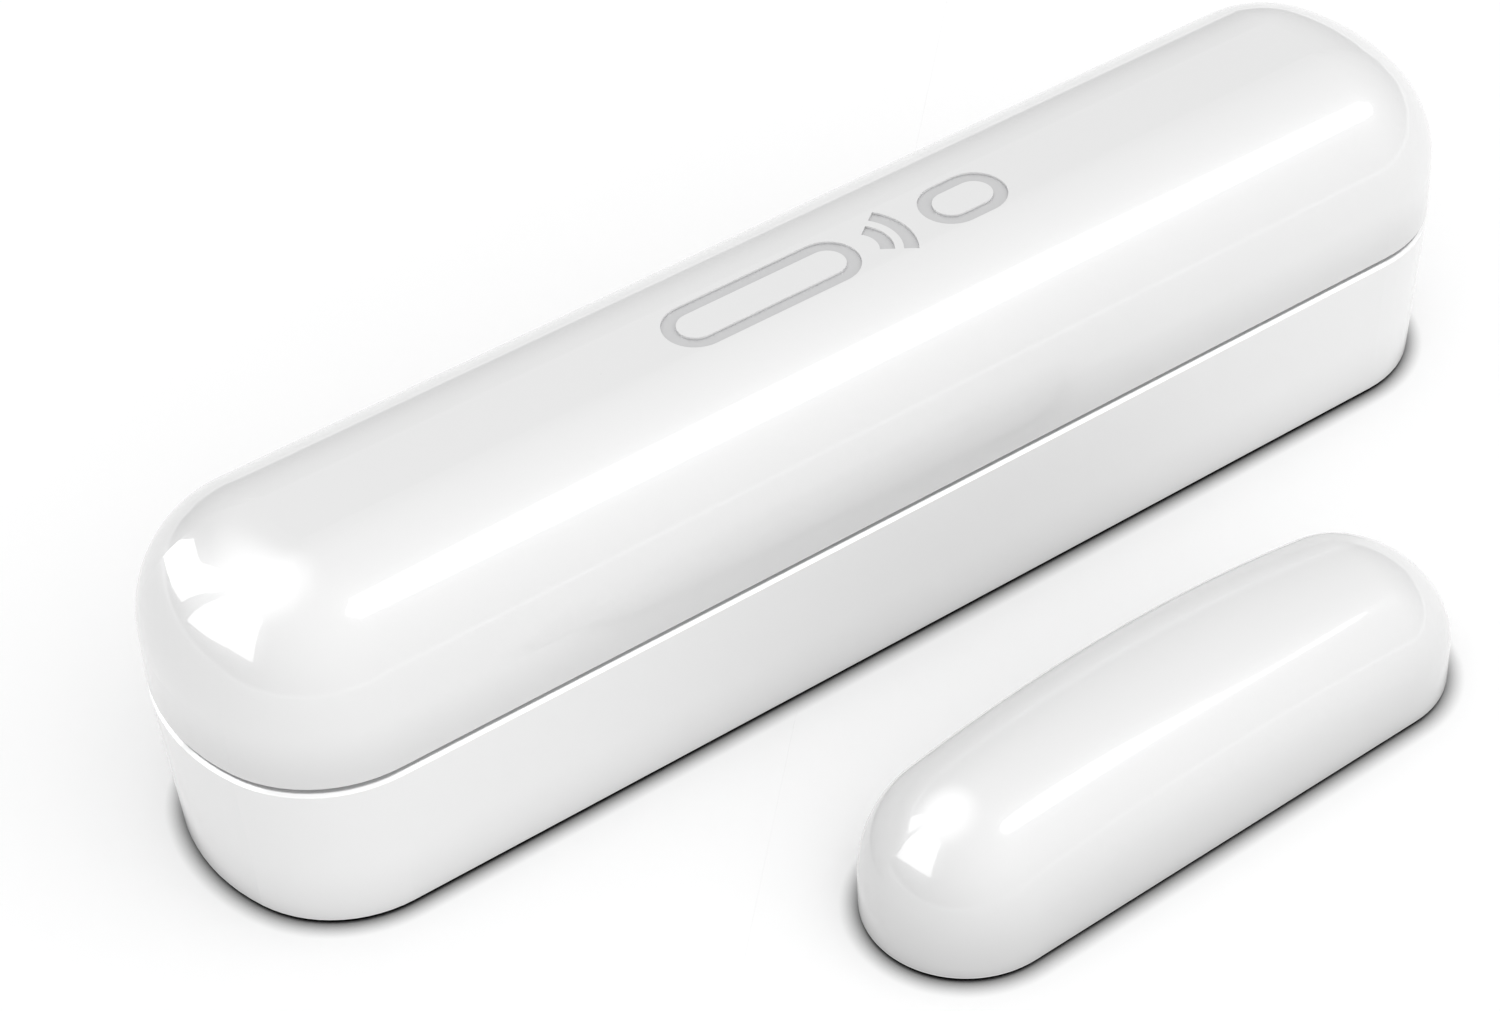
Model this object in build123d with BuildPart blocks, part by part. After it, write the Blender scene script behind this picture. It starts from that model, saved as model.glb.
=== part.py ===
from build123d import *
from math import atan, atan2, degrees, sqrt
import os

# Door contact sensor: a long rounded case that holds a battery and a radio board, and a small magnet unit.
# Millimetres. The origin is the middle of the case's mounting face, which is the plane of the adhesive
# pads' lower faces. +X runs along the case, +Z points away from the wall, the magnet unit is on the -Y side.

# --- driving dimensions: the case ---------------------------------------------------------------------
case_length = 76.0
case_width = 17.0
case_height = 19.0
end_radius = 11.75          # round at each end, centred on the long axis
corner_radius = 6.85        # rounds that join the ends to the long sides
top_radius = 6.65           # round along the cover's top edge
seam_height = 9.4           # the cover's lower edge
seam_gap = 0.3              # shadow gap between cover and base
wall = 1.1                  # the cover's wall and roof

foot_inset = 0.5            # the base's foot lies this far inside its rim, so the sides lean in
foot_radius = 0.15
rim_chamfer_run = 0.19      # the polished bevel round the base's rim
rim_chamfer_drop = 0.15
floor_thickness = 1.4
tray_inset = 1.5            # the hollow of the base, measured from the cover's outline
lip_inset = 0.7             # the lip that the cover slips over
lip_height = 1.35
lap_inset = 0.55            # the cover's rebate over that lip
lap_height = 1.35
cover_edge_radius = 0.2

pad_thickness = 0.8
pad_stand = 0.2             # the pads stand this far below the plastic
pad_length = 56.0
pad_width = 11.6
pad_corner = 2.5
pad_play = 0.15

screw_x = 33.4              # the two wall screws, on the long axis
screw_hole_radius = 1.6
screw_head_radius = 2.9
screw_boss_radius = 3.4
screw_boss_height = 1.0
screw_head_depth = 0.8

saddle_places = (-22.0, -10.0)   # the battery's saddles, and the roof ribs above them
saddle_width = 7.4
saddle_height = 3.0
saddle_thickness = 1.2
rib_depth = 0.5
rib_width = 7.0
rib_thickness = 1.0
pry_slot_length = 7.0
pry_slot_height = 0.7

mark_x = 0.8                # the sunk pictogram on the roof
mark_y = -0.3
mark_long = 11.4
mark_long_offset = -4.6
mark_short = 4.9
mark_short_offset = 7.9
mark_arc_offset = 1.0
mark_arc_radii = (1.7, 2.9)
mark_arc_sweep = 72
mark_height = 3.5
mark_line = 0.75
mark_depth = 0.15

# --- driving dimensions: the battery and its contacts -------------------------------------------------
battery_radius = 7.25
battery_length = 25.0
battery_start = -28.6
battery_axis = 10.0         # height of the battery's axis
battery_play = 0.15
wrap_thickness = 0.15
wrap_play = 0.02
wrap_turned_in = 1.0        # the sleeve folds over the can's ends by this much
can_edge_radius = 0.3
cap_length = 1.45
cap_radius = 2.75
cap_edge_radius = 0.4
ring_thickness = 0.3
ring_play = 0.4

contact_thickness = 0.4
contact_play = 0.05
positive_width = 7.0
positive_height = 9.0
positive_corner = 2.0
positive_foot = (2.2, 3.0)
negative_width = 12.4
negative_height = 10.4
negative_corner = 3.0
negative_foot = (1.2, 1.4)
negative_foot_y = 5.5
spring_radius = 3.0
spring_wire = 0.25
spring_space = 1.6
spring_turns = 2

# --- driving dimensions: the board --------------------------------------------------------------------
board_bottom = 3.2
board_thickness = 0.8
board_left = -31.5
board_right = 30.0
board_half_width = 6.8
fork_end = -4.2             # the board's window for the battery runs from its left end to here
fork_half_width = 4.6
post_radius = 1.0
pin_radius = 0.55
pin_height = 0.45
pin_play = 0.05
board_corner = 1.0
post_spots = [(-26.0, -5.75), (-26.0, 5.75), (-1.2, -5.75), (-1.2, 5.75), (28.6, -3.9), (28.6, 5.9)]

# --- driving dimensions: components on the board, each with its place and its length, width, height ----
chip_edge = 0.1
microcontroller_place, microcontroller_size = (3.9, 2.4), (7.0, 7.0, 0.9)
flash_place, flash_size = (11.2, 4.6), (4.0, 3.0, 0.8)
radio_place, radio_size = (19.6, 1.0), (5.0, 5.0, 0.9)
crystal_place, crystal_size = (4.6, -2.9), (3.2, 1.6, 0.8)
led_place, led_size = (27.0, -1.2), (1.6, 0.9, 0.6)
capacitor_length = 1.5
capacitor_width = 0.8
capacitors_along = [(8.4, -3.3), (10.4, -3.3), (12.4, -3.3)]
capacitors_across = [(13.6, -1.7), (13.6, 0.3), (13.9, 4.6)]
resistor_row, resistor_pitch, resistor_count = (20.0, -4.5), 1.7, 5
resistor_length, resistor_width, resistor_height = 1.0, 0.5, 0.35
shield_length, shield_width, shield_height = 9.6, 8.4, 2.2
shield_sheet = 0.2
shield_corner = 0.5
vent_radius = 0.4
vent_pitch = 2.0
storage_place = (26.9, 3.0)
storage_foot = 4.2
storage_foot_height = 0.7
storage_radius = 2.0
storage_height = 4.6
storage_edge_radius = 0.3
antenna_y = -5.7
antenna_root = 29.0
antenna_tip = 14.0
antenna_height = 8.2
antenna_tip_height = 5.4
antenna_bend = 1.2
antenna_radius = 0.35

# --- driving dimensions: the tamper button ------------------------------------------------------------
tamper_x = 10.0
button_radius = 1.85
button_edge_radius = 0.3
button_hole_radius = 2.0
button_window_radius = 3.2
flange_radius = 2.8
flange_bottom = 2.5
flange_thickness = 0.6
stalk_radius = 0.9
stalk_edge_radius = 0.2
stalk_top = 5.2
stalk_hole_play = 0.3
switch_size = 4.6
switch_height = 2.2
switch_corner = 0.5
switch_roof = 0.4
switch_bore_play = 0.15

# --- driving dimensions: the reed switch --------------------------------------------------------------
reed_x = 4.6
reed_y = -5.3
reed_height = 6.0
reed_length = 10.0
reed_radius = 1.0
reed_bore = 0.7
reed_neck_length = 1.2      # the glass closes on the wire here
reed_neck_taper = 0.2
reed_end_radius = 0.5
lead_radius = 0.24
lead_bend = 0.7
lead_seal = 0.01
lead_inside = 1.6           # how far the wire runs on inside the glass
lead_reach = 1.9            # from the glass end to the bend
blade_length = 4.4
blade_lap = 0.15            # the flat blade begins this far back along the wire
blade_width = 0.8
blade_thickness = 0.14
blade_offset = 0.14

# --- driving dimensions: the magnet unit --------------------------------------------------------------
magnet_x = 2.2
magnet_y = -23.85
magnet_turn = 1.6           # degrees, the unit stands slightly askew to the case
magnet_length = 35.1
magnet_width = 10.2
magnet_height = 9.1
arch_radius = 70.3          # the back of the unit is arched along its length
magnet_flat = 0.1           # half-width of the flat left along the crown
magnet_foot_radius = 0.15
magnet_wall = 1.1
plate_bottom = 0.8
plate_thickness = 1.0
plate_play = 0.1
pad_margin = 0.2            # the magnet's pad is this much smaller than its plate, all round
bar_length = 22.0
bar_width = 5.0
bar_height = 3.2
bar_edge = 0.25
bar_play = 0.1
stop_thickness = 1.0
stop_width = 4.0
stop_height = 1.2

# --- worked-out heights and places --------------------------------------------------------------------
rim_height = seam_height - seam_gap
floor_top = pad_stand + floor_thickness
board_top = board_bottom + board_thickness
battery_end = battery_start + battery_length
spring_plate_face = battery_start - spring_space
base_draft = degrees(atan(foot_inset / (rim_height - pad_stand)))
can_radius = battery_radius - wrap_thickness - wrap_play
can_end = battery_end - cap_length
plate_inset = magnet_wall + plate_play
magnet_plane = Plane(Location((magnet_x, magnet_y, 0), (0, 0, magnet_turn)))


def case_plan(inset):
    """The case's outline in plan, moved inwards: long sides, corner rounds and end rounds."""
    half_length = case_length / 2 - inset
    half_width = case_width / 2 - inset
    end_r = end_radius - inset
    corner_r = corner_radius - inset
    end_x = half_length - end_r
    corner_y = half_width - corner_r
    corner_x = end_x + sqrt((end_r - corner_r) ** 2 - corner_y**2)
    meet = degrees(atan2(corner_y, corner_x - end_x))
    with BuildSketch(Plane.XY) as plan:
        with BuildLine():
            Line((-corner_x, -half_width), (corner_x, -half_width))
            CenterArc((corner_x, -corner_y), corner_r, -90, 90 - meet)
            CenterArc((end_x, 0), end_r, -meet, 2 * meet)
            CenterArc((corner_x, corner_y), corner_r, meet, 90 - meet)
            Line((corner_x, half_width), (-corner_x, half_width))
            CenterArc((-corner_x, corner_y), corner_r, 90, 90 - meet)
            CenterArc((-end_x, 0), end_r, 180 - meet, 2 * meet)
            CenterArc((-corner_x, -corner_y), corner_r, 180 + meet, 90 - meet)
        make_face()
    return plan.sketch


def save(part, name):
    """Label a finished piece and write it under its own name."""
    part.label = name
    export_step(part, f"parts/{name}.step")


def component(place, size):
    """A rectangular component that stands on the board, with its top edges chamfered."""
    length, width, height = size
    with BuildPart() as body:
        with BuildSketch(Plane.XY.offset(board_top)):
            with Locations(place):
                Rectangle(length, width)
        extrude(amount=height)
        chamfer(body.faces().sort_by(Axis.Z)[-1].edges(), chip_edge)
    return body.part


os.makedirs("parts", exist_ok=True)

# --- base_tray: the screwed or stuck-on half of the case ----------------------------------------------
with BuildPart() as base_tray:
    with BuildSketch(Plane.XY.offset(rim_height)):
        add(case_plan(0))
    extrude(amount=pad_stand - rim_height, taper=base_draft)
    fillet(base_tray.faces().sort_by(Axis.Z)[0].edges(), foot_radius)
    rim = base_tray.faces().sort_by(Axis.Z)[-1]
    chamfer(rim.edges(), rim_chamfer_run, rim_chamfer_drop, reference=rim)
    with BuildSketch(Plane.XY.offset(rim_height)):
        add(case_plan(lip_inset))
    extrude(amount=lip_height)
    with BuildSketch(Plane.XY.offset(floor_top)):
        add(case_plan(tray_inset))
    extrude(amount=case_height, mode=Mode.SUBTRACT)
    # the battery's room is hollowed round into the side walls
    with BuildSketch(Plane.YZ.offset(spring_plate_face - contact_thickness)):
        with Locations((0, battery_axis)):
            Circle(battery_radius + battery_play)
    extrude(amount=battery_end - spring_plate_face + 2 * contact_thickness, mode=Mode.SUBTRACT)
    # two saddles carry the battery
    for saddle_x in saddle_places:
        with BuildSketch(Plane.YZ.offset(saddle_x)):
            with Locations((0, floor_top)):
                Rectangle(saddle_width, saddle_height, align=(Align.CENTER, Align.MIN))
            with Locations((0, battery_axis)):
                Circle(battery_radius + battery_play, mode=Mode.SUBTRACT)
        extrude(amount=saddle_thickness)
    # posts hold the board, and their pins are riveted over it
    with BuildSketch(Plane.XY.offset(floor_top)):
        with Locations(*post_spots):
            Circle(post_radius)
    extrude(amount=board_bottom - floor_top)
    with BuildSketch(Plane.XY.offset(board_bottom)):
        with Locations(*post_spots):
            Circle(pin_radius)
    extrude(amount=board_thickness + pin_height)
    # screw bosses
    with BuildSketch(Plane.XY.offset(floor_top)):
        with Locations((-screw_x, 0), (screw_x, 0)):
            Circle(screw_boss_radius)
    extrude(amount=screw_boss_height)
    boss_top = floor_top + screw_boss_height
    with Locations((-screw_x, 0, boss_top), (screw_x, 0, boss_top)):
        CounterBoreHole(screw_hole_radius, screw_head_radius, screw_head_depth)
    # recess for the adhesive pad, and the tamper button's hole
    with BuildSketch(Plane.XY):
        RectangleRounded(pad_length, pad_width, pad_corner)
    extrude(amount=pad_thickness, mode=Mode.SUBTRACT)
    with BuildSketch(Plane.XY):
        with Locations((tamper_x, 0)):
            Circle(button_hole_radius)
    extrude(amount=floor_top, mode=Mode.SUBTRACT)
save(base_tray.part, "base_tray")

# --- cover: the glossy snap-on half -------------------------------------------------------------------
with BuildPart() as cover_hollow:
    with BuildSketch(Plane.XY.offset(seam_height)):
        add(case_plan(wall))
    extrude(amount=case_height - wall - seam_height)
    fillet(cover_hollow.faces().sort_by(Axis.Z)[-1].edges(), top_radius - wall)
    with BuildSketch(Plane.XY.offset(seam_height)):
        add(case_plan(lap_inset))
    extrude(amount=lap_height)

with BuildPart() as cover:
    with BuildSketch(Plane.XY.offset(seam_height)):
        add(case_plan(0))
    extrude(amount=case_height - seam_height)
    fillet(cover.faces().sort_by(Axis.Z)[-1].edges(), top_radius)
    fillet(cover.faces().sort_by(Axis.Z)[0].edges(), cover_edge_radius)
    add(cover_hollow.part, mode=Mode.SUBTRACT)
    # ribs under the roof keep the battery down
    for rib_x in saddle_places:
        with BuildSketch(Plane.XY.offset(case_height - wall - rib_depth)):
            with Locations((rib_x, 0)):
                Rectangle(rib_thickness, rib_width)
        extrude(amount=rib_depth)
    # pry slot through the skin at the back
    with BuildSketch(Plane.XY.offset(seam_height)):
        with Locations((0, case_width / 2)):
            Rectangle(pry_slot_length, 2 * lap_inset)
    extrude(amount=pry_slot_height, mode=Mode.SUBTRACT)
    # sunk pictogram: a long unit, a short unit, and the field between them
    with BuildSketch(Plane.XY.offset(case_height)):
        for pill_offset, pill_length in ((mark_long_offset, mark_long), (mark_short_offset, mark_short)):
            with Locations((mark_x + pill_offset, mark_y)):
                SlotOverall(pill_length, mark_height)
                SlotOverall(pill_length - 2 * mark_line, mark_height - 2 * mark_line, mode=Mode.SUBTRACT)
        arc_centre = (mark_x + mark_arc_offset, mark_y)
        arc_start = -mark_arc_sweep / 2
        for arc_radius in mark_arc_radii:
            with BuildLine():
                outer = CenterArc(arc_centre, arc_radius + mark_line / 2, arc_start, mark_arc_sweep)
                inner = CenterArc(arc_centre, arc_radius - mark_line / 2, arc_start, mark_arc_sweep)
                Line(outer @ 0, inner @ 0)
                Line(outer @ 1, inner @ 1)
            make_face()
    extrude(amount=-mark_depth, mode=Mode.SUBTRACT)
save(cover.part, "cover")

# --- mounting_pad: double-sided foam under the base ---------------------------------------------------
with BuildPart() as mounting_pad:
    with BuildSketch(Plane.XY):
        RectangleRounded(pad_length - 2 * pad_play, pad_width - 2 * pad_play, pad_corner - pad_play)
        with Locations((tamper_x, 0)):
            Circle(button_window_radius, mode=Mode.SUBTRACT)
    extrude(amount=pad_thickness)
save(mounting_pad.part, "mounting_pad")

# --- circuit_board: forked round the battery ----------------------------------------------------------
with BuildPart() as circuit_board:
    with BuildSketch(Plane.XY.offset(board_bottom)):
        with Locations(((board_left + board_right) / 2, 0)):
            RectangleRounded(board_right - board_left, 2 * board_half_width, board_corner)
        with Locations(((board_left + fork_end) / 2, 0)):
            Rectangle(fork_end - board_left, 2 * fork_half_width, mode=Mode.SUBTRACT)
        with Locations(*post_spots):
            Circle(pin_radius + pin_play, mode=Mode.SUBTRACT)
        with Locations((tamper_x, 0)):
            Circle(stalk_radius + stalk_hole_play, mode=Mode.SUBTRACT)
    extrude(amount=board_thickness)
save(circuit_board.part, "circuit_board")

# --- chips and small components on the board ----------------------------------------------------------
save(component(microcontroller_place, microcontroller_size), "microcontroller")
save(component(flash_place, flash_size), "flash_memory")
save(component(radio_place, radio_size), "radio_chip")
save(component(crystal_place, crystal_size), "crystal")
save(component(led_place, led_size), "status_led")

with BuildPart() as chip_capacitors:
    with BuildSketch(Plane.XY.offset(board_top)):
        with Locations(*capacitors_along):
            Rectangle(capacitor_length, capacitor_width)
        with Locations(*capacitors_across):
            Rectangle(capacitor_width, capacitor_length)
    extrude(amount=capacitor_width)
save(chip_capacitors.part, "chip_capacitors")

with BuildPart() as chip_resistors:
    with BuildSketch(Plane.XY.offset(board_top)):
        with Locations(resistor_row):
            with GridLocations(resistor_pitch, resistor_width, resistor_count, 1):
                Rectangle(resistor_length, resistor_width)
    extrude(amount=resistor_height)
save(chip_resistors.part, "chip_resistors")

# --- radio_shield: a folded can over the radio chip ---------------------------------------------------
with BuildPart() as radio_shield:
    with BuildSketch(Plane.XY.offset(board_top)):
        with Locations(radio_place):
            Rectangle(shield_length, shield_width)
    extrude(amount=shield_height)
    fillet(radio_shield.edges().filter_by(Axis.Z), shield_corner)
    offset(amount=-shield_sheet, openings=radio_shield.faces().sort_by(Axis.Z)[0])
    with BuildSketch(Plane.XY.offset(board_top + shield_height)):
        with Locations(radio_place):
            with GridLocations(vent_pitch, vent_pitch, 3, 2):
                Circle(vent_radius)
    extrude(amount=-shield_sheet, mode=Mode.SUBTRACT)
save(radio_shield.part, "radio_shield")

# --- storage_capacitor: an upright can on a square foot -----------------------------------------------
with BuildPart() as storage_capacitor:
    with BuildSketch(Plane.XY.offset(board_top)):
        with Locations(storage_place):
            Rectangle(storage_foot, storage_foot)
    extrude(amount=storage_foot_height)
    with BuildSketch(Plane.XY.offset(board_top + storage_foot_height)):
        with Locations(storage_place):
            Circle(storage_radius)
    extrude(amount=storage_height)
    fillet(storage_capacitor.faces().sort_by(Axis.Z)[-1].edges(), storage_edge_radius)
save(storage_capacitor.part, "storage_capacitor")

# --- antenna_wire: a bent wire above the board's edge -------------------------------------------------
with BuildPart() as antenna_wire:
    with BuildLine() as antenna_path:
        FilletPolyline(
            (antenna_root, antenna_y, board_top),
            (antenna_root, antenna_y, antenna_height),
            (antenna_tip, antenna_y, antenna_height),
            (antenna_tip, antenna_y, antenna_tip_height),
            radius=antenna_bend,
        )
    with BuildSketch(Plane(antenna_path.line @ 0, z_dir=antenna_path.line % 0)):
        Circle(antenna_radius)
    sweep()
save(antenna_wire.part, "antenna_wire")

# --- reed switch: a hollow glass capsule, and two leads whose blades overlap inside it ----------------
with BuildPart() as reed_glass:
    seal = lead_radius + lead_seal
    left, right = reed_x - reed_length / 2, reed_x + reed_length / 2
    neck = reed_neck_length + reed_neck_taper
    with BuildSketch(Plane.XZ.offset(-reed_y)):
        with Locations((reed_x, reed_height)):
            Rectangle(reed_length, reed_radius, align=(Align.CENTER, Align.MIN))
        with BuildLine():
            Polyline(
                (left, reed_height),
                (left, reed_height + seal),
                (left + reed_neck_length, reed_height + seal),
                (left + neck, reed_height + reed_bore),
                (right - neck, reed_height + reed_bore),
                (right - reed_neck_length, reed_height + seal),
                (right, reed_height + seal),
                (right, reed_height),
                close=True,
            )
        make_face(mode=Mode.SUBTRACT)
    revolve(axis=Axis((reed_x, reed_y, reed_height), (1, 0, 0)))
    glass_ends = reed_glass.edges().filter_by(GeomType.CIRCLE)
    fillet(glass_ends.filter_by(lambda ring: ring.radius > reed_radius - lead_seal), reed_end_radius)
save(reed_glass.part, "reed_glass")

with BuildPart() as reed_leads:
    for side in (-1, 1):
        bend_x = reed_x + side * (reed_length / 2 + lead_reach)
        blade_root = reed_x + side * (reed_length / 2 - lead_inside)
        with BuildLine() as lead_path:
            FilletPolyline(
                (bend_x, reed_y, board_top),
                (bend_x, reed_y, reed_height),
                (blade_root, reed_y, reed_height),
                radius=lead_bend,
            )
        with BuildSketch(Plane(lead_path.line @ 0, z_dir=lead_path.line % 0)):
            Circle(lead_radius)
        sweep()
        with BuildSketch(Plane.XY.offset(reed_height + side * blade_offset - blade_thickness / 2)):
            with Locations((blade_root - side * (blade_length / 2 - blade_lap), reed_y)):
                Rectangle(blade_length, blade_width)
        extrude(amount=blade_thickness)
save(reed_leads.part, "reed_leads")

# --- tamper switch on the board, and the button that the wall holds in --------------------------------
with BuildPart() as tamper_switch_body:
    with BuildSketch(Plane.XY.offset(board_top)):
        with Locations((tamper_x, 0)):
            Rectangle(switch_size, switch_size)
    extrude(amount=switch_height)
    chamfer(tamper_switch_body.edges().filter_by(Axis.Z), switch_corner)
    with BuildSketch(Plane.XY.offset(board_top)):
        with Locations((tamper_x, 0)):
            Circle(stalk_radius + switch_bore_play)
    extrude(amount=switch_height - switch_roof, mode=Mode.SUBTRACT)
save(tamper_switch_body.part, "tamper_switch_body")

flange_top = flange_bottom + flange_thickness
with BuildPart() as tamper_switch_actuator:
    with BuildSketch(Plane.XY.offset(flange_top)):
        with Locations((tamper_x, 0)):
            Circle(stalk_radius)
    extrude(amount=stalk_top - flange_top)
    fillet(tamper_switch_actuator.faces().sort_by(Axis.Z)[-1].edges(), stalk_edge_radius)
save(tamper_switch_actuator.part, "tamper_switch_actuator")

with BuildPart() as tamper_button:
    with BuildSketch(Plane.XY):
        with Locations((tamper_x, 0)):
            Circle(button_radius)
    extrude(amount=flange_bottom)
    fillet(tamper_button.faces().sort_by(Axis.Z)[0].edges(), button_edge_radius)
    with BuildSketch(Plane.XY.offset(flange_bottom)):
        with Locations((tamper_x, 0)):
            Circle(flange_radius)
    extrude(amount=flange_thickness)
save(tamper_button.part, "tamper_button")


# --- battery: a can in a printed-film sleeve, with its cap and insulating ring ------------------------
def round_on_axis(start, length, radius, bore=0.0):
    """A disc or tube about the battery's axis."""
    with BuildPart() as body:
        with BuildSketch(Plane.YZ.offset(start)):
            with Locations((0, battery_axis)):
                Circle(radius)
                if bore:
                    Circle(bore, mode=Mode.SUBTRACT)
        extrude(amount=length)
    return body.part


with BuildPart() as battery_cell:
    can_start = battery_start + wrap_thickness
    add(round_on_axis(can_start, can_end - can_start, can_radius))
    fillet(battery_cell.edges(), can_edge_radius)
save(battery_cell.part, "battery_cell")

with BuildPart() as battery_positive_cap:
    add(round_on_axis(can_end, cap_length, cap_radius))
    fillet(battery_positive_cap.faces().sort_by(Axis.X)[-1].edges(), cap_edge_radius)
save(battery_positive_cap.part, "battery_positive_cap")

insulator_ring = round_on_axis(can_end, ring_thickness, can_radius - ring_play, cap_radius + ring_play)
save(insulator_ring, "battery_insulator_ring")

with BuildPart() as battery_sleeve:
    sleeve_length = can_end + ring_thickness + wrap_thickness - battery_start
    add(round_on_axis(battery_start, sleeve_length, battery_radius))
    inner_length = sleeve_length - 2 * wrap_thickness
    add(round_on_axis(can_start, inner_length, can_radius + wrap_play), mode=Mode.SUBTRACT)
    add(round_on_axis(battery_start, sleeve_length, can_radius - wrap_turned_in), mode=Mode.SUBTRACT)
save(battery_sleeve.part, "battery_sleeve")

# --- battery contacts: sheet-metal plates on the board, and a coil spring -----------------------------
with BuildPart() as positive_contact:
    plate_face = battery_end + contact_play
    with BuildSketch(Plane.YZ.offset(plate_face)):
        with Locations((0, board_top)):
            Rectangle(positive_width, positive_height, align=(Align.CENTER, Align.MIN))
    extrude(amount=contact_thickness)
    fillet(positive_contact.edges().filter_by(Axis.X).group_by(Axis.Z)[-1], positive_corner)
    with BuildSketch(Plane.XY.offset(board_top)):
        with Locations((plate_face, 0)):
            Rectangle(*positive_foot, align=(Align.MIN, Align.CENTER))
    extrude(amount=contact_thickness)
save(positive_contact.part, "positive_contact")

with BuildPart() as negative_contact:
    with BuildSketch(Plane.YZ.offset(spring_plate_face)):
        with Locations((0, board_top)):
            Rectangle(negative_width, negative_height, align=(Align.CENTER, Align.MIN))
    extrude(amount=-contact_thickness)
    fillet(negative_contact.edges().filter_by(Axis.X).group_by(Axis.Z)[-1], negative_corner)
    with BuildSketch(Plane.XY.offset(board_top)):
        with Locations((spring_plate_face, -negative_foot_y), (spring_plate_face, negative_foot_y)):
            Rectangle(*negative_foot, align=(Align.MAX, Align.CENTER))
    extrude(amount=contact_thickness)
save(negative_contact.part, "negative_contact")

with BuildPart() as negative_spring:
    coil_start = spring_plate_face + spring_wire
    coil_length = spring_space - 2 * spring_wire - contact_play
    with BuildLine() as coil:
        Helix(
            pitch=coil_length / spring_turns,
            height=coil_length,
            radius=spring_radius,
            center=(coil_start, 0, battery_axis),
            direction=(1, 0, 0),
        )
    with BuildSketch(Plane(coil.line @ 0, z_dir=coil.line % 0)):
        Circle(spring_wire)
    sweep(is_frenet=True)
save(negative_spring.part, "negative_spring")


# --- magnet unit --------------------------------------------------------------------------------------
def magnet_form(inset, bottom):
    """A pill in plan with an arched back, its top edges rounded as far as they go."""
    width = magnet_width - 2 * inset
    crown = magnet_height - inset
    side_plane = Plane(origin=magnet_plane.origin, x_dir=magnet_plane.x_dir, z_dir=-magnet_plane.y_dir)
    with BuildPart() as form:
        with BuildSketch(magnet_plane.offset(bottom)):
            SlotOverall(magnet_length - 2 * inset, width)
        extrude(amount=magnet_height)
        with BuildSketch(side_plane):
            with Locations((0, crown - arch_radius + inset)):
                Circle(arch_radius - inset)
        extrude(amount=magnet_width, both=True, mode=Mode.INTERSECT)
        fillet(form.faces().sort_by(Axis.Z)[-1].edges(), width / 2 - magnet_flat)
    return form.part


with BuildPart() as magnet_shell:
    add(magnet_form(0, pad_stand))
    fillet(magnet_shell.faces().sort_by(Axis.Z)[0].edges(), magnet_foot_radius)
    add(magnet_form(magnet_wall, 0), mode=Mode.SUBTRACT)
save(magnet_shell.part, "magnet_shell")

with BuildPart() as magnet_back_plate:
    with BuildSketch(magnet_plane.offset(plate_bottom)):
        SlotOverall(magnet_length - 2 * plate_inset, magnet_width - 2 * plate_inset)
    extrude(amount=plate_thickness)
    # end stops for the magnet
    with BuildSketch(magnet_plane.offset(plate_bottom + plate_thickness)):
        with GridLocations(bar_length + 2 * bar_play + stop_thickness, stop_width, 2, 1):
            Rectangle(stop_thickness, stop_width)
    extrude(amount=stop_height)
save(magnet_back_plate.part, "magnet_back_plate")

with BuildPart() as bar_magnet:
    with BuildSketch(magnet_plane.offset(plate_bottom + plate_thickness)):
        Rectangle(bar_length, bar_width)
    extrude(amount=bar_height)
    chamfer(bar_magnet.edges(), bar_edge)
save(bar_magnet.part, "bar_magnet")

with BuildPart() as magnet_pad:
    with BuildSketch(magnet_plane):
        pad_inset = plate_inset + pad_margin
        SlotOverall(magnet_length - 2 * pad_inset, magnet_width - 2 * pad_inset)
    extrude(amount=plate_bottom)
save(magnet_pad.part, "magnet_pad")
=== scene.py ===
from math import acos, cos, pi, radians, sin

import bmesh
import bpy
from mathutils import Matrix, Vector


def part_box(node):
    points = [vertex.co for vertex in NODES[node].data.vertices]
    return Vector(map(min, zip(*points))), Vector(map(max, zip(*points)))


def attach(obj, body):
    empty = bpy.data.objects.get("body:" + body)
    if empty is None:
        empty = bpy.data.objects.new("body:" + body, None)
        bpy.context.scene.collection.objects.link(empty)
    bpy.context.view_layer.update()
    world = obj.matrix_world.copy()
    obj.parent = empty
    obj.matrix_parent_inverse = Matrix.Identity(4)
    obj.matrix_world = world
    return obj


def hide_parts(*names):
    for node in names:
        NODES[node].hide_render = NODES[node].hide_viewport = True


# Door contact sensor: a glossy white case with a separate magnet unit, on a pale studio floor. Blender works
# in metres, and the sizes below are millimetres and degrees unless a line says otherwise.

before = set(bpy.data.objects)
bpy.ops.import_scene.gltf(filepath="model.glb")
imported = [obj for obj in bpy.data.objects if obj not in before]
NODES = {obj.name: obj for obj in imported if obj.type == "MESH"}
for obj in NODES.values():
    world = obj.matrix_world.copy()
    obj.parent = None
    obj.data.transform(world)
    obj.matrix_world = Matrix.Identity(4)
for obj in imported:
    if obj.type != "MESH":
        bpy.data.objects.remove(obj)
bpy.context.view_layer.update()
MM = 0.001

# --- camera -------------------------------------------------------------------------------------------
CAMERA_PLACE = Vector((-87.517, -121.918, 132.176)) * MM
CAMERA_RIGHT = Vector((0.80750648, -0.58848394, -0.04024855))
CAMERA_UP = Vector((0.40863081, 0.50889647, 0.75765774))
CAMERA_LENS = 91.26
CAMERA_SENSOR = 36.0

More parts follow.
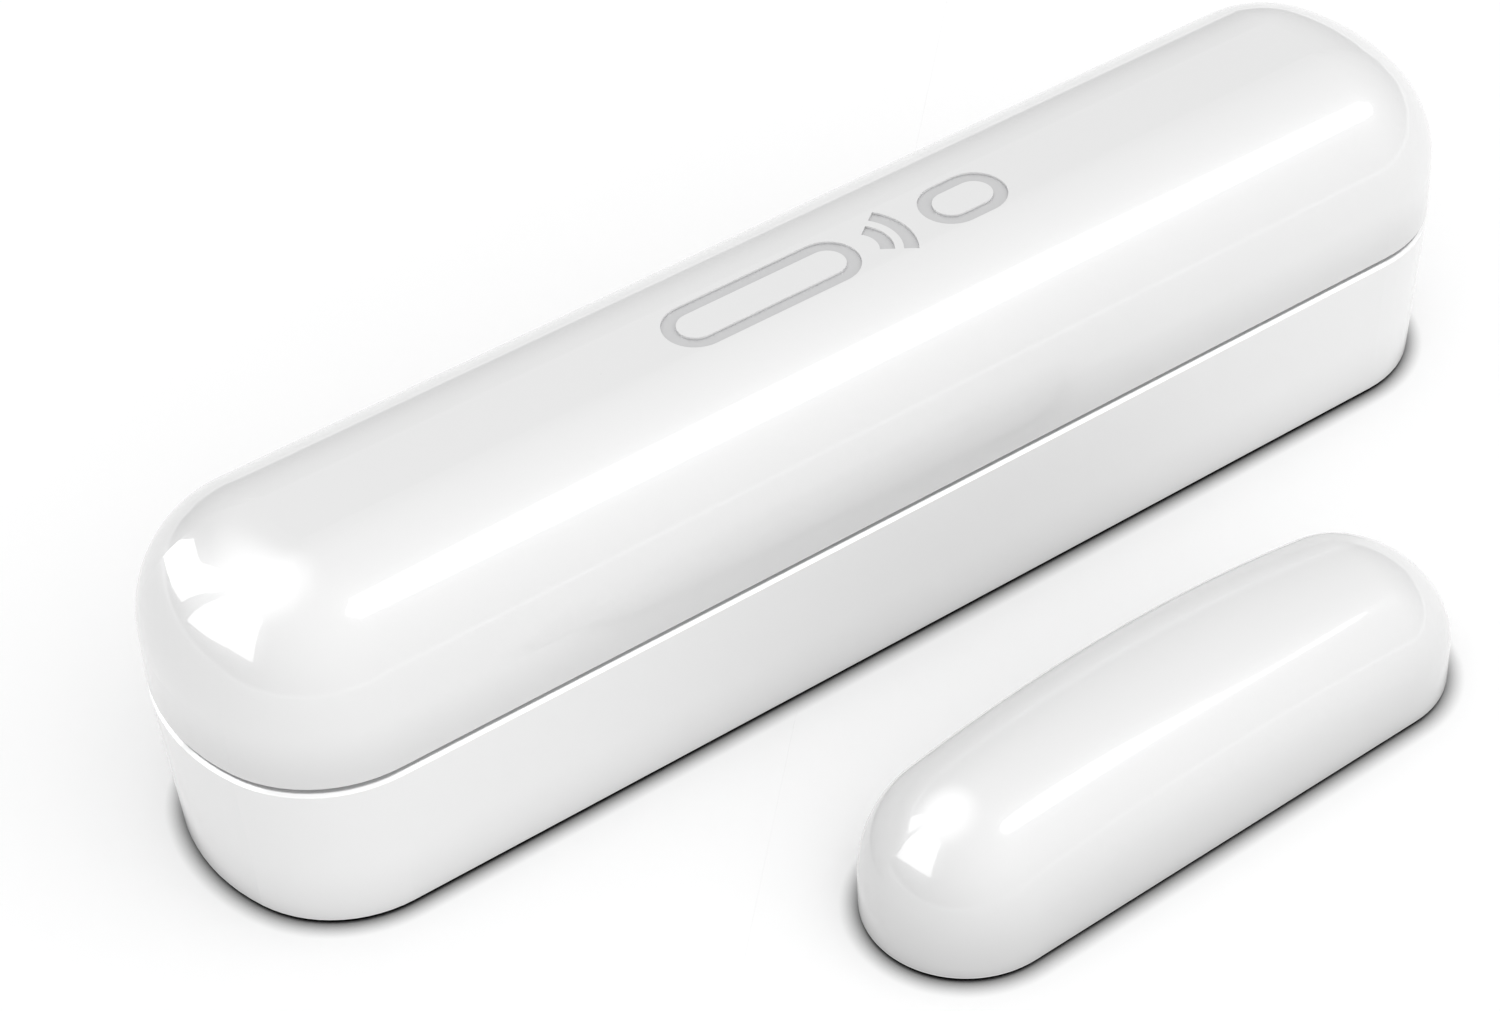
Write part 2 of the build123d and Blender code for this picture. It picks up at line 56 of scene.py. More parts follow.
# --- studio -------------------------------------------------------------------------------------------
FLOOR_SIZE = 10.0               # metres
FLOOR_DROP = 0.02               # keeps the floor clear of the pads' lower faces
FLOOR_COLOR = 0.95
CONTACT_REACH = 1.0             # painted contact shade darkens the floor this close to the feet
CONTACT_DARKEST = 0.3           # openness that would be black
SKY = 0.22                      # radiance all over
HORIZON = 1.3                   # more near the horizon, fading out at this height of the direction
HORIZON_FADE = 0.065
FILLS = (                       # broad fills: azimuth, elevation, strength
    (-90, 10, 0.7),
    (0, 10, 0.1),
    (0, 90, 0.97),
)
GLOW_DIRECTION = (130, 62)      # a round soft glow above the case's near end
GLOW_DISTANCE = 360
GLOW_RADIUS = 260
GLOW_STRENGTH = 5.0
CURVE_STEPS = 24                # straight pieces in half of a round outline
STRIP_ENDS = ((112, 60), (228, 33))     # x and half-width at the softbox's near and far ends
STRIP_NEAR_STRETCH = 1.55               # its near end is a long ellipse
STRIP_Y = -128
STRIP_HEIGHT = 217
STRIP_STRENGTH = 4.5
WINDOW_ABOUT = Vector((-35, -1, 17))    # the windows stand round the case's near end
WINDOW_DISTANCE = 300
WINDOW_STRENGTH = 4.5
WINDOWS = {                             # outlines as azimuth and elevation
    "window_low": ((111, 1), (108, 24), (119, 29), (123, 45), (131, 45), (136, 33), (133, 10)),
    "window_high": ((140, 7), (140, 44), (176, 50), (188, 20), (165, 17)),
}

# --- the parts' own heights and places, from the frame -------------------------------------------------
COVER_LOW, COVER_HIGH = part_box("cover")
TRAY_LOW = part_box("base_tray")[0]
BATTERY_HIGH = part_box("battery_sleeve")[1]
STORAGE_LOW, STORAGE_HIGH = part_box("storage_capacitor")
SHADOW_GAP = 0.3                # between the tray's rim and the cover
RIM_BEVEL = 0.15                # height of the bevel round the tray's rim, which carries a painted highlight
FOOT_HIGHLIGHT_HEIGHT = 0.12                # height of the painted highlight round each foot
MARK_DEPTH = 0.15
MAGNET_LOW, MAGNET_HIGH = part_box("magnet_shell")
MAGNET_TURN = 1.6               # degrees, askew to the case
MAGNET_RADIUS = 5.1             # half the unit's width
MAGNET_SPINE = 12.45            # half-length between the centres of its end rounds
MAGNET_WALL = 1.1
MAGNET_FOOT_RADIUS = 0.15
MAGNET_ARCH = 70.3              # radius of its back along its length
MARK_HALF_WIDTH = 2.6
MARK_HALF_LENGTH = 14           # the sunk pictogram lies within this much of the roof's middle


# --- camera, light and floor --------------------------------------------------------------------------
def camera():
    data = bpy.data.cameras.new("camera")
    data.lens = CAMERA_LENS
    data.sensor_width = CAMERA_SENSOR
    data.clip_start = 0.005
    data.clip_end = 50.0
    eye = bpy.data.objects.new("camera", data)
    turn = Matrix((CAMERA_RIGHT, CAMERA_UP, CAMERA_RIGHT.cross(CAMERA_UP))).transposed()
    eye.matrix_world = Matrix.Translation(CAMERA_PLACE) @ turn.to_4x4()
    bpy.context.scene.collection.objects.link(eye)
    bpy.context.scene.camera = eye


def direction(azimuth, elevation):
    a, e = radians(azimuth), radians(elevation)
    return Vector((cos(e) * cos(a), cos(e) * sin(a), sin(e)))


def sky():
    """A white studio: brighter towards the horizon, with broad soft fills."""
    world = bpy.data.worlds.new("studio")
    bpy.context.scene.world = world
    world.use_nodes = True
    tree = world.node_tree
    background = tree.nodes["Background"]
    place = tree.nodes.new("ShaderNodeTexCoord")
    split = tree.nodes.new("ShaderNodeSeparateXYZ")
    tree.links.new(place.outputs["Generated"], split.inputs[0])
    total = vary(tree, split.outputs["Z"], SKY + HORIZON, SKY, (0, HORIZON_FADE))
    for azimuth, elevation, strength in FILLS:
        toward = tree.nodes.new("ShaderNodeVectorMath")
        toward.operation = "DOT_PRODUCT"
        toward.inputs[1].default_value = direction(azimuth, elevation)
        tree.links.new(place.outputs["Generated"], toward.inputs[0])
        total = combine(tree, "ADD", total, vary(tree, toward.outputs["Value"], 0, strength))
    tree.links.new(total, background.inputs["Strength"])
    background.inputs["Color"].default_value = (1, 1, 1, 1)


def softbox(name, outline, strength, soft_radius=0):
    """A glowing card that only reflections show. With a soft radius it fades out from its middle."""
    mesh = bpy.data.meshes.new(name)
    mesh.from_pydata(outline, [], [tuple(range(len(outline)))])
    card = bpy.data.objects.new(name, mesh)
    bpy.context.scene.collection.objects.link(card)
    material = bpy.data.materials.new(name)
    material.use_nodes = True
    tree = material.node_tree
    glow = tree.nodes.new("ShaderNodeEmission")
    glow.inputs["Strength"].default_value = strength
    shine = glow.outputs[0]
    if soft_radius:
        away = tree.nodes.new("ShaderNodeVectorMath")
        away.operation = "DISTANCE"
        away.inputs[1].default_value = sum(outline, Vector()) / len(outline) / MM
        tree.links.new(coordinates(tree), away.inputs[0])
        fade = tree.nodes.new("ShaderNodeMixShader")
        tree.links.new(vary(tree, away.outputs["Value"], 1, 0, (0, soft_radius), smooth=True), fade.inputs[0])
        tree.links.new(tree.nodes.new("ShaderNodeBsdfTransparent").outputs[0], fade.inputs[1])
        tree.links.new(shine, fade.inputs[2])
        shine = fade.outputs[0]
    tree.links.new(shine, tree.nodes["Material Output"].inputs["Surface"])
    mesh.materials.append(material)
    card.visible_camera = False
    card.visible_shadow = False
    card.visible_diffuse = False


def softboxes():
    """A long level tapered softbox in front, two window panes beyond the near end, and a glow above them."""
    (near_x, near_r), (far_x, far_r) = STRIP_ENDS
    lean = acos((near_r - far_r) / (far_x - near_x))
    outline = []
    ends = ((far_x, far_r, 1, -lean, 2 * lean), (near_x, near_r, STRIP_NEAR_STRETCH, lean, 2 * (pi - lean)))
    for x, r, stretch, start, sweep in ends:
        for i in range(CURVE_STEPS + 1):
            a = start + sweep * i / CURVE_STEPS
            outline.append(Vector((x + stretch * r * cos(a), STRIP_Y + r * sin(a), STRIP_HEIGHT)) * MM)
    softbox("strip_softbox", outline, STRIP_STRENGTH)
    for name, corners in WINDOWS.items():
        outline = [(WINDOW_ABOUT + WINDOW_DISTANCE * direction(*corner)) * MM for corner in corners]
        softbox(name, outline, WINDOW_STRENGTH)
    aim = direction(*GLOW_DIRECTION)
    across = aim.orthogonal().normalized()
    above = aim.cross(across)
    middle = WINDOW_ABOUT + GLOW_DISTANCE * aim
    outline = []
    for i in range(2 * CURVE_STEPS):
        a = pi * i / CURVE_STEPS
        outline.append((middle + GLOW_RADIUS * (cos(a) * across + sin(a) * above)) * MM)
    softbox("glow", outline, GLOW_STRENGTH, soft_radius=GLOW_RADIUS)


def floor():
    """A plain pale floor with painted contact shade in the narrow gaps round the feet."""
    mesh = bpy.data.meshes.new("floor")
    half, low = FLOOR_SIZE / 2, -FLOOR_DROP * MM
    corners = [(-half, -half, low), (half, -half, low), (half, half, low), (-half, half, low)]
    mesh.from_pydata(corners, [], [(0, 1, 2, 3)])
    ground = bpy.data.objects.new("floor", mesh)
    bpy.context.scene.collection.objects.link(ground)
    material, tree, shader = new_material("floor")
    # Painted contact shade: an occlusion test darkens the floor's colour near the feet.
    nearness = tree.nodes.new("ShaderNodeAmbientOcclusion")
    nearness.samples = 16
    nearness.inputs["Distance"].default_value = CONTACT_REACH * MM
    open_floor = vary(tree, nearness.outputs["AO"], 0, 1, (CONTACT_DARKEST, 1.0))
    tree.links.new(tint(tree, open_floor, (0.0, 0.0, 0.0), (FLOOR_COLOR,) * 3), shader.inputs["Base Color"])
    shader.inputs["Roughness"].default_value = 1.0
    shader.inputs["Specular IOR Level"].default_value = 0.0
    mesh.materials.append(material)


# --- node helpers -------------------------------------------------------------------------------------
def new_material(name):
    material = bpy.data.materials.new(name)
    material.use_nodes = True
    tree = material.node_tree
    return material, tree, tree.nodes["Principled BSDF"]


def vary(tree, value, low, high, span=(0.0, 1.0), smooth=False):
    """A number that goes from low to high as the value goes over the span."""
    node = tree.nodes.new("ShaderNodeMapRange")
    node.interpolation_type = "SMOOTHSTEP" if smooth else "LINEAR"
    node.inputs["From Min"].default_value = span[0]
    node.inputs["From Max"].default_value = span[1]
    node.inputs["To Min"].default_value = low
    node.inputs["To Max"].default_value = high
    tree.links.new(value, node.inputs["Value"])
    return node.outputs["Result"]


def combine(tree, operation, first, second):
    """One arithmetic step. The second operand is a socket or a number."""
    node = tree.nodes.new("ShaderNodeMath")
    node.operation = operation
    tree.links.new(first, node.inputs[0])
    if isinstance(second, (int, float)):
        node.inputs[1].default_value = second
    else:
        tree.links.new(second, node.inputs[1])
    return node.outputs[0]


def tint(tree, factor, low, high):
    """A colour between two. Either may be a colour or a socket."""
    node = tree.nodes.new("ShaderNodeMix")
    node.data_type = "RGBA"
    tree.links.new(factor, node.inputs["Factor"])
    for socket, color in ((node.inputs[6], low), (node.inputs[7], high)):
        if isinstance(color, tuple):
            socket.default_value = (*color, 1)
        else:
            tree.links.new(color, socket)
    return node.outputs[2]


def coordinates(tree, stretch=(1, 1, 1)):
    """Places on the object in millimetres, squeezed along some axes for a drawn-out grain."""
    place = tree.nodes.new("ShaderNodeTexCoord")
    scale = tree.nodes.new("ShaderNodeVectorMath")
    scale.operation = "MULTIPLY"
    scale.inputs[1].default_value = Vector(stretch) / MM
    tree.links.new(place.outputs["Object"], scale.inputs[0])
    return scale.outputs["Vector"]


def axis(tree, name):
    split = tree.nodes.new("ShaderNodeSeparateXYZ")
    tree.links.new(coordinates(tree), split.inputs[0])
    return split.outputs[name]


def grain(tree, size, detail=2.0, stretch=(1, 1, 1)):
    """Noise whose blotches are about this many millimetres across."""
    noise = tree.nodes.new("ShaderNodeTexNoise")
    noise.inputs["Scale"].default_value = 1 / size
    noise.inputs["Detail"].default_value = detail
    tree.links.new(coordinates(tree, stretch), noise.inputs["Vector"])
    return noise.outputs["Fac"]


def cells(tree, size, metric="EUCLIDEAN"):
    """Distance to the middle of irregular cells, from 0 to about 1."""
    node = tree.nodes.new("ShaderNodeTexVoronoi")
    node.distance = metric
    node.inputs["Scale"].default_value = 1 / size
    tree.links.new(coordinates(tree), node.inputs["Vector"])
    return node.outputs["Distance"]


def emboss(tree, shader, height, depth, strength=1.0):
    """Surface relief of this many millimetres."""
    bump = tree.nodes.new("ShaderNodeBump")
    bump.inputs["Strength"].default_value = strength
    bump.inputs["Distance"].default_value = depth * MM
    tree.links.new(height, bump.inputs["Height"])
    tree.links.new(bump.outputs["Normal"], shader.inputs["Normal"])


# --- materials ----------------------------------------------------------------------------------------
WHITE = (0.74, 0.74, 0.74)
# Painted shade: the cover greys to this towards its rim.
WHITE_PAINTED_SHADE = (0.62, 0.62, 0.62)
# Painted shade: the magnet unit greys to this down its flanks.
MAGNET_PAINTED_SHADE = (0.56, 0.56, 0.56)
MARK_GREY = (0.54, 0.54, 0.545)
TRAY_WHITE = (0.76, 0.76, 0.76)
# Painted shade: the tray greys to this towards its foot.
FOOT_PAINTED_SHADE = (0.69, 0.69, 0.69)
# Painted highlight on the rim's bevel and round each foot's edge.
PAINTED_EDGE_HIGHLIGHT = (0.97, 0.97, 0.97)
# Painted shade on the lip inside the seam.
LIP_PAINTED_SHADE = (0.62, 0.62, 0.625)
COVER_SHADE_HEIGHT = 3.6        # the painted shade reaches this far up from the rim or foot
TRAY_SHADE_HEIGHT = 4.0
MAGNET_SHADE_HEIGHT = 6.5
MASK_EDGE = 0.1                 # width of the soft edge round the pictogram's zone


def polished(name, color, coat):
    """Polished moulded plastic: a faint mottle under a clear hard gloss."""
    material, tree, shader = new_material(name)
    mottle = grain(tree, 9.0, 3.0)
    shade = tint(tree, mottle, (0.985, 0.985, 0.985), (1.0, 1.0, 1.0))
    product = tree.nodes.new("ShaderNodeMix")
    product.data_type = "RGBA"
    product.blend_type = "MULTIPLY"
    product.inputs["Factor"].default_value = 1.0
    tree.links.new(color(tree), product.inputs[6])
    tree.links.new(shade, product.inputs[7])
    tree.links.new(product.outputs[2], shader.inputs["Base Color"])
    tree.links.new(vary(tree, grain(tree, 0.6, 2.0), 0.26, 0.34), shader.inputs["Roughness"])
    emboss(tree, shader, grain(tree, 5.0, 1.0), 0.0015)
    shader.inputs["Coat Weight"].default_value = coat
    shader.inputs["Coat Roughness"].default_value = 0.02
    return material


def cover_plastic():
    """White, with painted shade towards its rim, and a grey floor in the sunk pictogram."""
    def color(tree):
        height = axis(tree, "Z")
        rim, top = COVER_LOW.z / MM, COVER_HIGH.z / MM
        # Painted shade: greyer towards the rim.
        painted_shade_fade = vary(tree, height, 0, 1, (rim, rim + COVER_SHADE_HEIGHT), smooth=True)
        body = tint(tree, painted_shade_fade, WHITE_PAINTED_SHADE, WHITE)
        sunk = vary(tree, height, 1, 0, (top - 0.7 * MARK_DEPTH, top - 0.5 * MARK_DEPTH))
        along = combine(tree, "ABSOLUTE", axis(tree, "X"), 0)
        inside = vary(tree, along, 1, 0, (MARK_HALF_LENGTH, MARK_HALF_LENGTH + MASK_EDGE))
        aside = combine(tree, "ABSOLUTE", axis(tree, "Y"), 0)
        narrow = vary(tree, aside, 1, 0, (MARK_HALF_WIDTH, MARK_HALF_WIDTH + MASK_EDGE))
        mask = combine(tree, "MULTIPLY", combine(tree, "MULTIPLY", sunk, inside), narrow)
        return tint(tree, mask, body, MARK_GREY)
    return polished("cover_plastic", color, 1.0)


def base_plastic():
    """White, with painted shade towards the foot, a painted highlight on the rim's bevel, painted shade on
    the lip and a painted highlight round the foot edge.
    """
    def color(tree):
        height = axis(tree, "Z")
        rim = COVER_LOW.z / MM - SHADOW_GAP
        foot = TRAY_LOW.z / MM
        # Painted shade: greyer towards the foot.
        painted_shade_fade = vary(tree, height, 0, 1, (foot, foot + TRAY_SHADE_HEIGHT), smooth=True)
        body = tint(tree, painted_shade_fade, FOOT_PAINTED_SHADE, TRAY_WHITE)
        edge = rim - 0.2 * RIM_BEVEL
        # Painted highlight on the rim's bevel and round the foot edge.
        bevel_highlight = vary(tree, height, 0, 1, (rim - 1.15 * RIM_BEVEL, rim - RIM_BEVEL))
        foot_highlight = vary(tree, height, 1, 0, (foot + FOOT_HIGHLIGHT_HEIGHT, foot + 1.3 * FOOT_HIGHLIGHT_HEIGHT))
        # Painted shade on the lip.
        lip_shade = vary(tree, height, 0, 1, (edge, edge + 0.02))
        highlighted = tint(tree, combine(tree, "MAXIMUM", bevel_highlight, foot_highlight), body, PAINTED_EDGE_HIGHLIGHT)
        return tint(tree, lip_shade, highlighted, LIP_PAINTED_SHADE)
    return polished("base_plastic", color, 0.9)


def magnet_plastic():
    """White, with painted shade down the flanks and a painted highlight round the foot edge."""
    def color(tree):
        height = axis(tree, "Z")
        foot = MAGNET_LOW.z / MM
        # Painted shade: greyer down the flanks.
        painted_shade_fade = vary(tree, height, 0, 1, (foot, foot + MAGNET_SHADE_HEIGHT), smooth=True)
        body = tint(tree, painted_shade_fade, MAGNET_PAINTED_SHADE, WHITE)
        # Painted highlight round the foot edge.
        foot_highlight = vary(tree, height, 1, 0, (foot + FOOT_HIGHLIGHT_HEIGHT, foot + 1.3 * FOOT_HIGHLIGHT_HEIGHT))
        return tint(tree, foot_highlight, body, PAINTED_EDGE_HIGHLIGHT)
    return polished("magnet_plastic", color, 1.0)


def foam_tape():
    """Closed-cell foam: fine pores and a soft dull skin."""
    material, tree, shader = new_material("foam_tape")
    pores = cells(tree, 0.25)
    tree.links.new(tint(tree, pores, (0.52, 0.52, 0.5), (0.8, 0.8, 0.78)), shader.inputs["Base Color"])
    shader.inputs["Roughness"].default_value = 0.95
    emboss(tree, shader, pores, 0.12)
    return material


def board_laminate():
    """Green solder mask over square copper tracks and small plated holes, with bare laminate at the edges."""
    material, tree, shader = new_material("board_laminate")
    tracks = combine(tree, "PINGPONG", cells(tree, 3.0, "CHEBYCHEV"), 0.07)
    copper = vary(tree, tracks, 0, 1, (0.035, 0.045))
    mask = tint(tree, copper, (0.012, 0.085, 0.04), (0.03, 0.19, 0.085))
    holes = vary(tree, cells(tree, 1.9), 1, 0, (0.1, 0.12))
    face = tint(tree, holes, mask, (0.75, 0.58, 0.3))
    normal = tree.nodes.new("ShaderNodeNewGeometry")
    split = tree.nodes.new("ShaderNodeSeparateXYZ")
    tree.links.new(normal.outputs["Normal"], split.inputs[0])
    level = vary(tree, combine(tree, "ABSOLUTE", split.outputs["Z"], 0), 0, 1, (0.4, 0.6))
    tree.links.new(tint(tree, level, (0.5, 0.46, 0.28), face), shader.inputs["Base Color"])
    shader.inputs["Roughness"].default_value = 0.38
    shader.inputs["Coat Weight"].default_value = 0.4
    shader.inputs["Coat Roughness"].default_value = 0.15
    emboss(tree, shader, copper, 0.03)
    return material


def moulded(name, low, high, size, roughness, depth):
    """Matt moulded plastic, epoxy or paper: two near colours and a fine skin."""
    material, tree, shader = new_material(name)
    skin = grain(tree, size, 4.0)
    tree.links.new(tint(tree, skin, low, high), shader.inputs["Base Color"])
    tree.links.new(vary(tree, skin, roughness - 0.06, roughness + 0.06), shader.inputs["Roughness"])
    emboss(tree, shader, skin, depth)
    return material


def metal(name, low, high, stretch, roughness, depth=0.004):
    """Plated or drawn metal: its grain runs along the squeezed axis."""
    material, tree, shader = new_material(name)
    drawn = grain(tree, 0.25, 5.0, stretch)
    tree.links.new(tint(tree, drawn, low, high), shader.inputs["Base Color"])
    tree.links.new(vary(tree, drawn, roughness * 0.7, roughness * 1.3), shader.inputs["Roughness"])
    shader.inputs["Metallic"].default_value = 1.0
    emboss(tree, shader, drawn, depth)
    return material


def capacitor_can():
    """A drawn aluminium can on a black foot, with a dark mark on one side of its top."""
    material, tree, shader = new_material("capacitor_can")
    height = axis(tree, "Z")
    foot_top = STORAGE_LOW.z / MM + 0.7
    top = STORAGE_HIGH.z / MM
    can = vary(tree, height, 0, 1, (foot_top - 0.02, foot_top))
    lid = vary(tree, height, 0, 1, (top - 0.3, top - 0.2))
    middle = (STORAGE_LOW.x + STORAGE_HIGH.x) / 2 / MM
    side = vary(tree, axis(tree, "X"), 1, 0, (middle - 0.9, middle - 0.8))
    drawn = tint(tree, grain(tree, 0.3, 4.0, (1, 1, 0.1)), (0.62, 0.62, 0.64), (0.8, 0.8, 0.82))
    marked = tint(tree, combine(tree, "MULTIPLY", lid, side), drawn, (0.03, 0.03, 0.04))
    tree.links.new(tint(tree, can, (0.02, 0.02, 0.022), marked), shader.inputs["Base Color"])
    tree.links.new(can, shader.inputs["Metallic"])
    tree.links.new(vary(tree, can, 0.6, 0.3), shader.inputs["Roughness"])
    return material


def battery_film():
    """Shrink film in deep green with a pale band at the positive end, over the can's faint ripple."""
    material, tree, shader = new_material("battery_film")
    along = axis(tree, "X")
    band_end = BATTERY_HIGH.x / MM - 0.8
    band = combine(
        tree, "MULTIPLY",
        vary(tree, along, 0, 1, (band_end - 5.05, band_end - 5.0)),
        vary(tree, along, 1, 0, (band_end - 0.05, band_end)),
    )
    rule = vary(tree, combine(tree, "PINGPONG", along, 0.9), 0, 1, (0.72, 0.74))
    pale = tint(tree, rule, (0.78, 0.8, 0.78), (0.35, 0.5, 0.42))
    film = tint(tree, grain(tree, 4.0, 3.0), (0.03, 0.16, 0.1), (0.045, 0.2, 0.13))
    tree.links.new(tint(tree, band, film, pale), shader.inputs["Base Color"])
    shader.inputs["Roughness"].default_value = 0.28
    shader.inputs["Coat Weight"].default_value = 0.6
    shader.inputs["Coat Roughness"].default_value = 0.08
    emboss(tree, shader, grain(tree, 1.2, 2.0, (0.2, 1, 1)), 0.01)
    return material


def led_lens():
    """Clear epoxy, a little cloudy, with the pale die showing through."""
    material, tree, shader = new_material("led_lens")
    cloud = grain(tree, 0.4, 3.0)
    tree.links.new(tint(tree, cloud, (0.78, 0.74, 0.55), (0.93, 0.91, 0.8)), shader.inputs["Base Color"])
    shader.inputs["Roughness"].default_value = 0.12
    shader.inputs["Subsurface Weight"].default_value = 0.3
    shader.inputs["Subsurface Scale"].default_value = 0.3 * MM
    emboss(tree, shader, cloud, 0.004)
    return material


def reed_glass():
    """Drawn glass, faintly green, with slight draw lines along it."""
    material, tree, shader = new_material("reed_glass")
    lines = grain(tree, 0.5, 2.0, (0.1, 1, 1))
    tree.links.new(tint(tree, lines, (0.82, 0.93, 0.88), (0.92, 0.98, 0.95)), shader.inputs["Base Color"])
    shader.inputs["Transmission Weight"].default_value = 0.95
    shader.inputs["IOR"].default_value = 1.5
    shader.inputs["Roughness"].default_value = 0.03
    emboss(tree, shader, lines, 0.006)
    return material


def finishes():
    """Every material, and the CAD nodes that wear it."""
    black = ((0.014, 0.014, 0.016), (0.03, 0.03, 0.033))
    tin = ((0.6, 0.6, 0.58), (0.76, 0.76, 0.74))
    nickel = ((0.56, 0.55, 0.52), (0.72, 0.7, 0.67))
    steel = ((0.62, 0.62, 0.61), (0.78, 0.78, 0.77))
    return [
        (cover_plastic(), ["cover"]),
        (base_plastic(), ["base_tray"]),
        (magnet_plastic(), ["magnet_shell", "magnet_back_plate"]),
        (foam_tape(), ["mounting_pad", "magnet_pad"]),
        (board_laminate(), ["circuit_board"]),
        (moulded("chip_plastic", *black, 0.12, 0.55, 0.01),
         ["microcontroller", "flash_memory", "radio_chip", "chip_resistors", "tamper_switch_body"]),
        (moulded("capacitor_ceramic", (0.36, 0.25, 0.16), (0.5, 0.37, 0.25), 0.2, 0.5, 0.01),
         ["chip_capacitors"]),
        (moulded("actuator_plastic", (0.5, 0.05, 0.04), (0.66, 0.08, 0.06), 0.5, 0.4, 0.006),
         ["tamper_button", "tamper_switch_actuator"]),
        (moulded("insulator_paper", (0.66, 0.66, 0.62), (0.85, 0.85, 0.81), 0.3, 0.85, 0.03),
         ["battery_insulator_ring"]),
        (metal("tinned_sheet", *tin, (0.15, 1, 1), 0.3), ["radio_shield", "crystal"]),
        (metal("battery_can", *steel, (0.1, 1, 1), 0.25), ["battery_cell", "battery_positive_cap"]),
        (metal("spring_metal", *nickel, (1, 1, 0.15), 0.28),
         ["positive_contact", "negative_contact", "negative_spring"]),
        (metal("reed_metal", *nickel, (0.15, 1, 1), 0.3), ["reed_leads"]),
        (metal("copper_wire", (0.7, 0.33, 0.16), (0.85, 0.47, 0.26), (0.15, 1, 1), 0.25), ["antenna_wire"]),
        (metal("magnet_nickel", *nickel, (0.3, 1, 1), 0.22), ["bar_magnet"]),
        (capacitor_can(), ["storage_capacitor"]),
        (battery_film(), ["battery_sleeve"]),
        (led_lens(), ["status_led"]),
        (reed_glass(), ["reed_glass"]),
    ]


def dress():
    for material, names in finishes():
        for name in names:
            slots = NODES[name].data.materials
            slots.clear()
            slots.append(material)


# --- magnet shell -------------------------------------------------------------------------------------
# Its section is nearly round at both ends. Towards the middle its shoulders tighten and its flanks flatten,
# so each section is a chain of arcs: (slope in degrees where the arc ends, radius when round, when tight).
SECTION = ((26, 5.1, 7.33), (37, 5.1, 0.9), (64, 5.1, 4.82), (90, 5.1, 3.05))
SECTION_STEP = 1.0              # degrees
SECTION_SOFTNESS = 2.0          # degrees over which one arc's radius passes into the next
COLUMN_STEPS = 6                # pieces in the upright wall, and again in the foot's round
TIGHT_MIDDLE = 2.2              # where along the unit the shoulders are tightest
TIGHT_NEAR, TIGHT_FAR = 20.5, 18.0      # and how far away they would be round again
CROWN_DROP = 0.53               # the crown is this much lower there
STATIONS = 96                   # sections along each side, and round each end
END_STATIONS = 40
WELD = 0.0005                   # points closer than this are joined


def tightness(x):
    reach = TIGHT_NEAR if x < TIGHT_MIDDLE else TIGHT_FAR
    return 0.5 + 0.5 * cos(pi * min(1.0, abs(x - TIGHT_MIDDLE) / reach))


def arc_radius(slope, tight):
    """The section's radius of curvature where it slopes by this many degrees."""
    round_r, tight_r = SECTION[0][1:]
    for (end, _, _), (_, next_round, next_tight) in zip(SECTION, SECTION[1:]):
        share = min(1.0, max(0.0, (slope - end) / SECTION_SOFTNESS + 0.5))
        round_r += (next_round - round_r) * share
        tight_r += (next_tight - tight_r) * share
    return round_r + (tight_r - round_r) * tight


def section(tight, radius):
    """Distances out from the crown and down from it, from the crown to the upright wall."""
    points = [(0.0, 0.0)]
    out = down = 0.0
    for i in range(int(90 / SECTION_STEP)):
        slope = (i + 0.5) * SECTION_STEP
        step = arc_radius(slope, tight) * radians(SECTION_STEP)
        out += step * cos(radians(slope))
        down += step * sin(radians(slope))
        points.append((out, down))
    scale = radius / out
    return [(scale * a, scale * b) for a, b in points]


def stations():
    """Places round the spine, each with its own outward direction."""
    for side in (-1, 1):
        for i in range(STATIONS):
            yield side * MAGNET_SPINE * (2 * i / STATIONS - 1), (0, side)
        for i in range(END_STATIONS):
            a = side * pi / 2 - side * pi * i / END_STATIONS
            yield side * MAGNET_SPINE, (side * abs(cos(a)), sin(a))


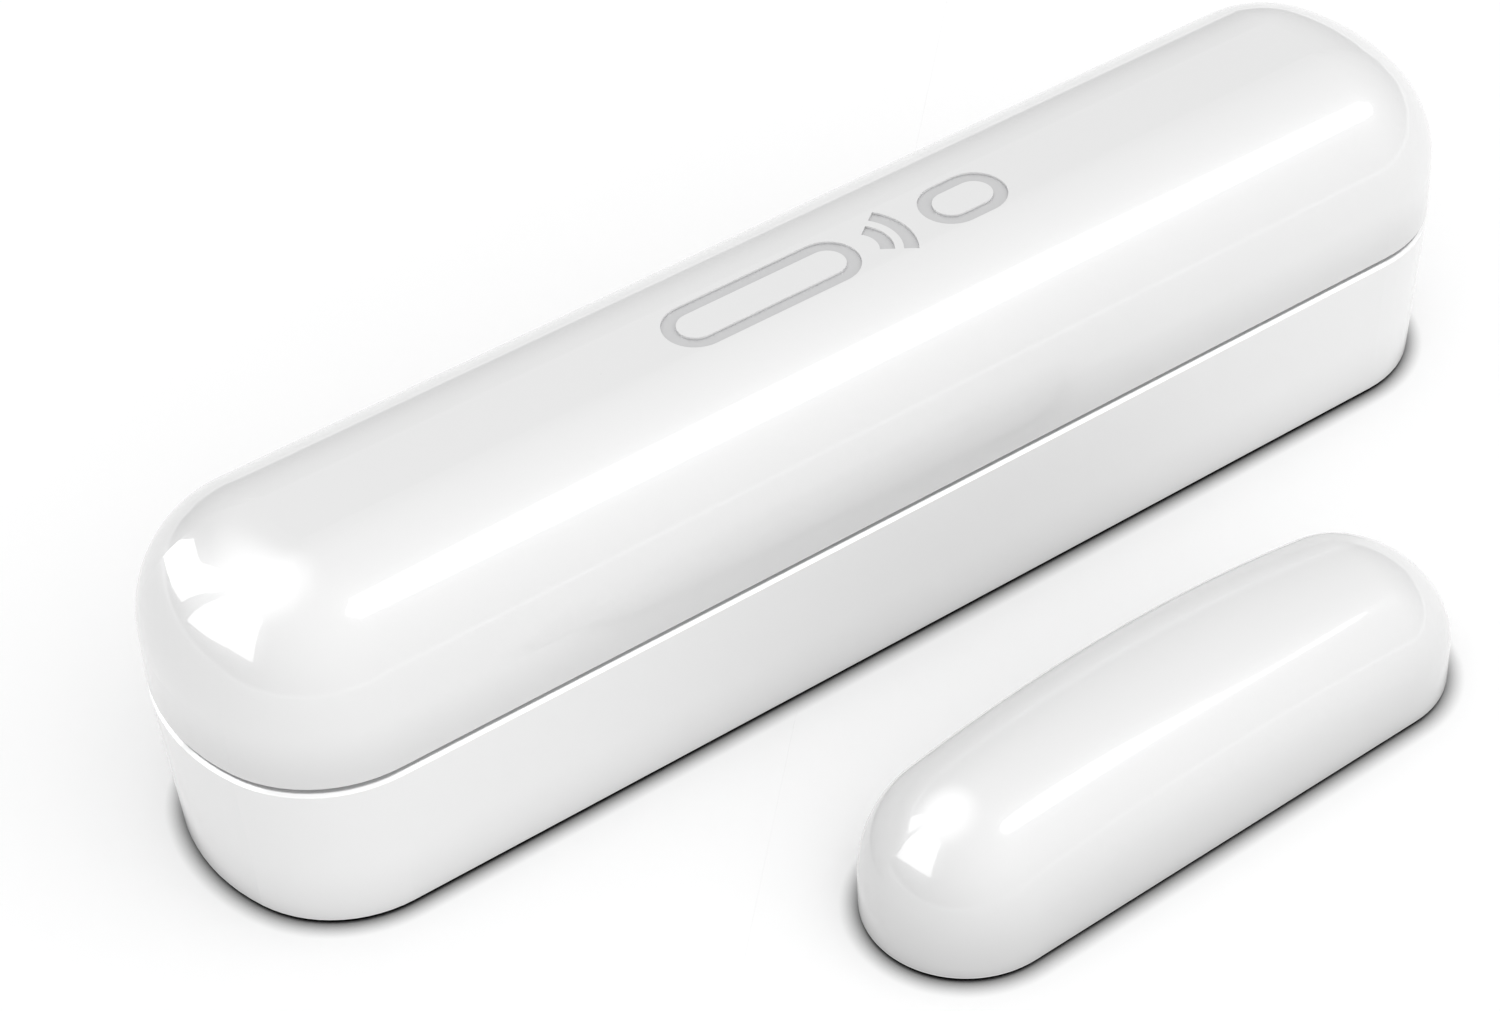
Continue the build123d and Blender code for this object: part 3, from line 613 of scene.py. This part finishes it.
def magnet_column(x, way, radius, crown, foot_radius):
    """One line down the skin, from the crown to the foot."""
    tight = tightness(x)
    column = []
    for out, down in section(tight, radius):
        across = x + out * way[0]
        arch = MAGNET_ARCH - (MAGNET_ARCH**2 - across**2) ** 0.5
        column.append((across, out * way[1], crown - arch - CROWN_DROP * tight - down))
    wall_top = column[-1][2]
    foot = MAGNET_LOW.z / MM
    for i in range(1, COLUMN_STEPS + 1):
        column.append((*column[-1][:2], wall_top + (foot + foot_radius - wall_top) * i / COLUMN_STEPS))
    if foot_radius:
        for i in range(1, COLUMN_STEPS + 1):
            a = pi / 2 * i / COLUMN_STEPS
            out = radius - foot_radius * (1 - cos(a))
            column.append((x + out * way[0], out * way[1], foot + foot_radius * (1 - sin(a))))
    return column


def magnet_skin():
    """The magnet unit's shell: an outer and an inner skin joined round the foot."""
    crown = MAGNET_HIGH.z / MM
    outer = [magnet_column(x, way, MAGNET_RADIUS, crown, MAGNET_FOOT_RADIUS) for x, way in stations()]
    inner_radius = MAGNET_RADIUS - MAGNET_WALL
    inner = [magnet_column(x, way, inner_radius, crown - MAGNET_WALL, 0) for x, way in stations()]
    columns = [down + up[::-1] for down, up in zip(outer, inner)]
    rows = len(columns[0])
    points = [Vector(point) * MM for column in columns for point in column]
    faces = []
    for c in range(len(columns)):
        d = (c + 1) % len(columns)
        for k in range(rows - 1):
            faces.append((c * rows + k, c * rows + k + 1, d * rows + k + 1, d * rows + k))
    mesh = bpy.data.meshes.new("magnet_skin")
    mesh.from_pydata(points, [], faces)
    form = bmesh.new()
    form.from_mesh(mesh)
    bmesh.ops.remove_doubles(form, verts=form.verts, dist=WELD * MM)
    bmesh.ops.recalc_face_normals(form, faces=form.faces)
    form.to_mesh(mesh)
    form.free()
    mesh.polygons.foreach_set("use_smooth", [True] * len(mesh.polygons))
    middle = (MAGNET_LOW + MAGNET_HIGH) / 2
    middle.z = 0
    mesh.transform(Matrix.Translation(middle) @ Matrix.Rotation(radians(MAGNET_TURN), 4, "Z"))
    skin = bpy.data.objects.new("magnet_skin", mesh)
    bpy.context.scene.collection.objects.link(skin)
    mesh.materials.append(NODES["magnet_back_plate"].data.materials[0])
    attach(skin, "magnet")
    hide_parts("magnet_shell")


bpy.context.scene.view_settings.view_transform = "Standard"
camera()
sky()
softboxes()
floor()
dress()
magnet_skin()
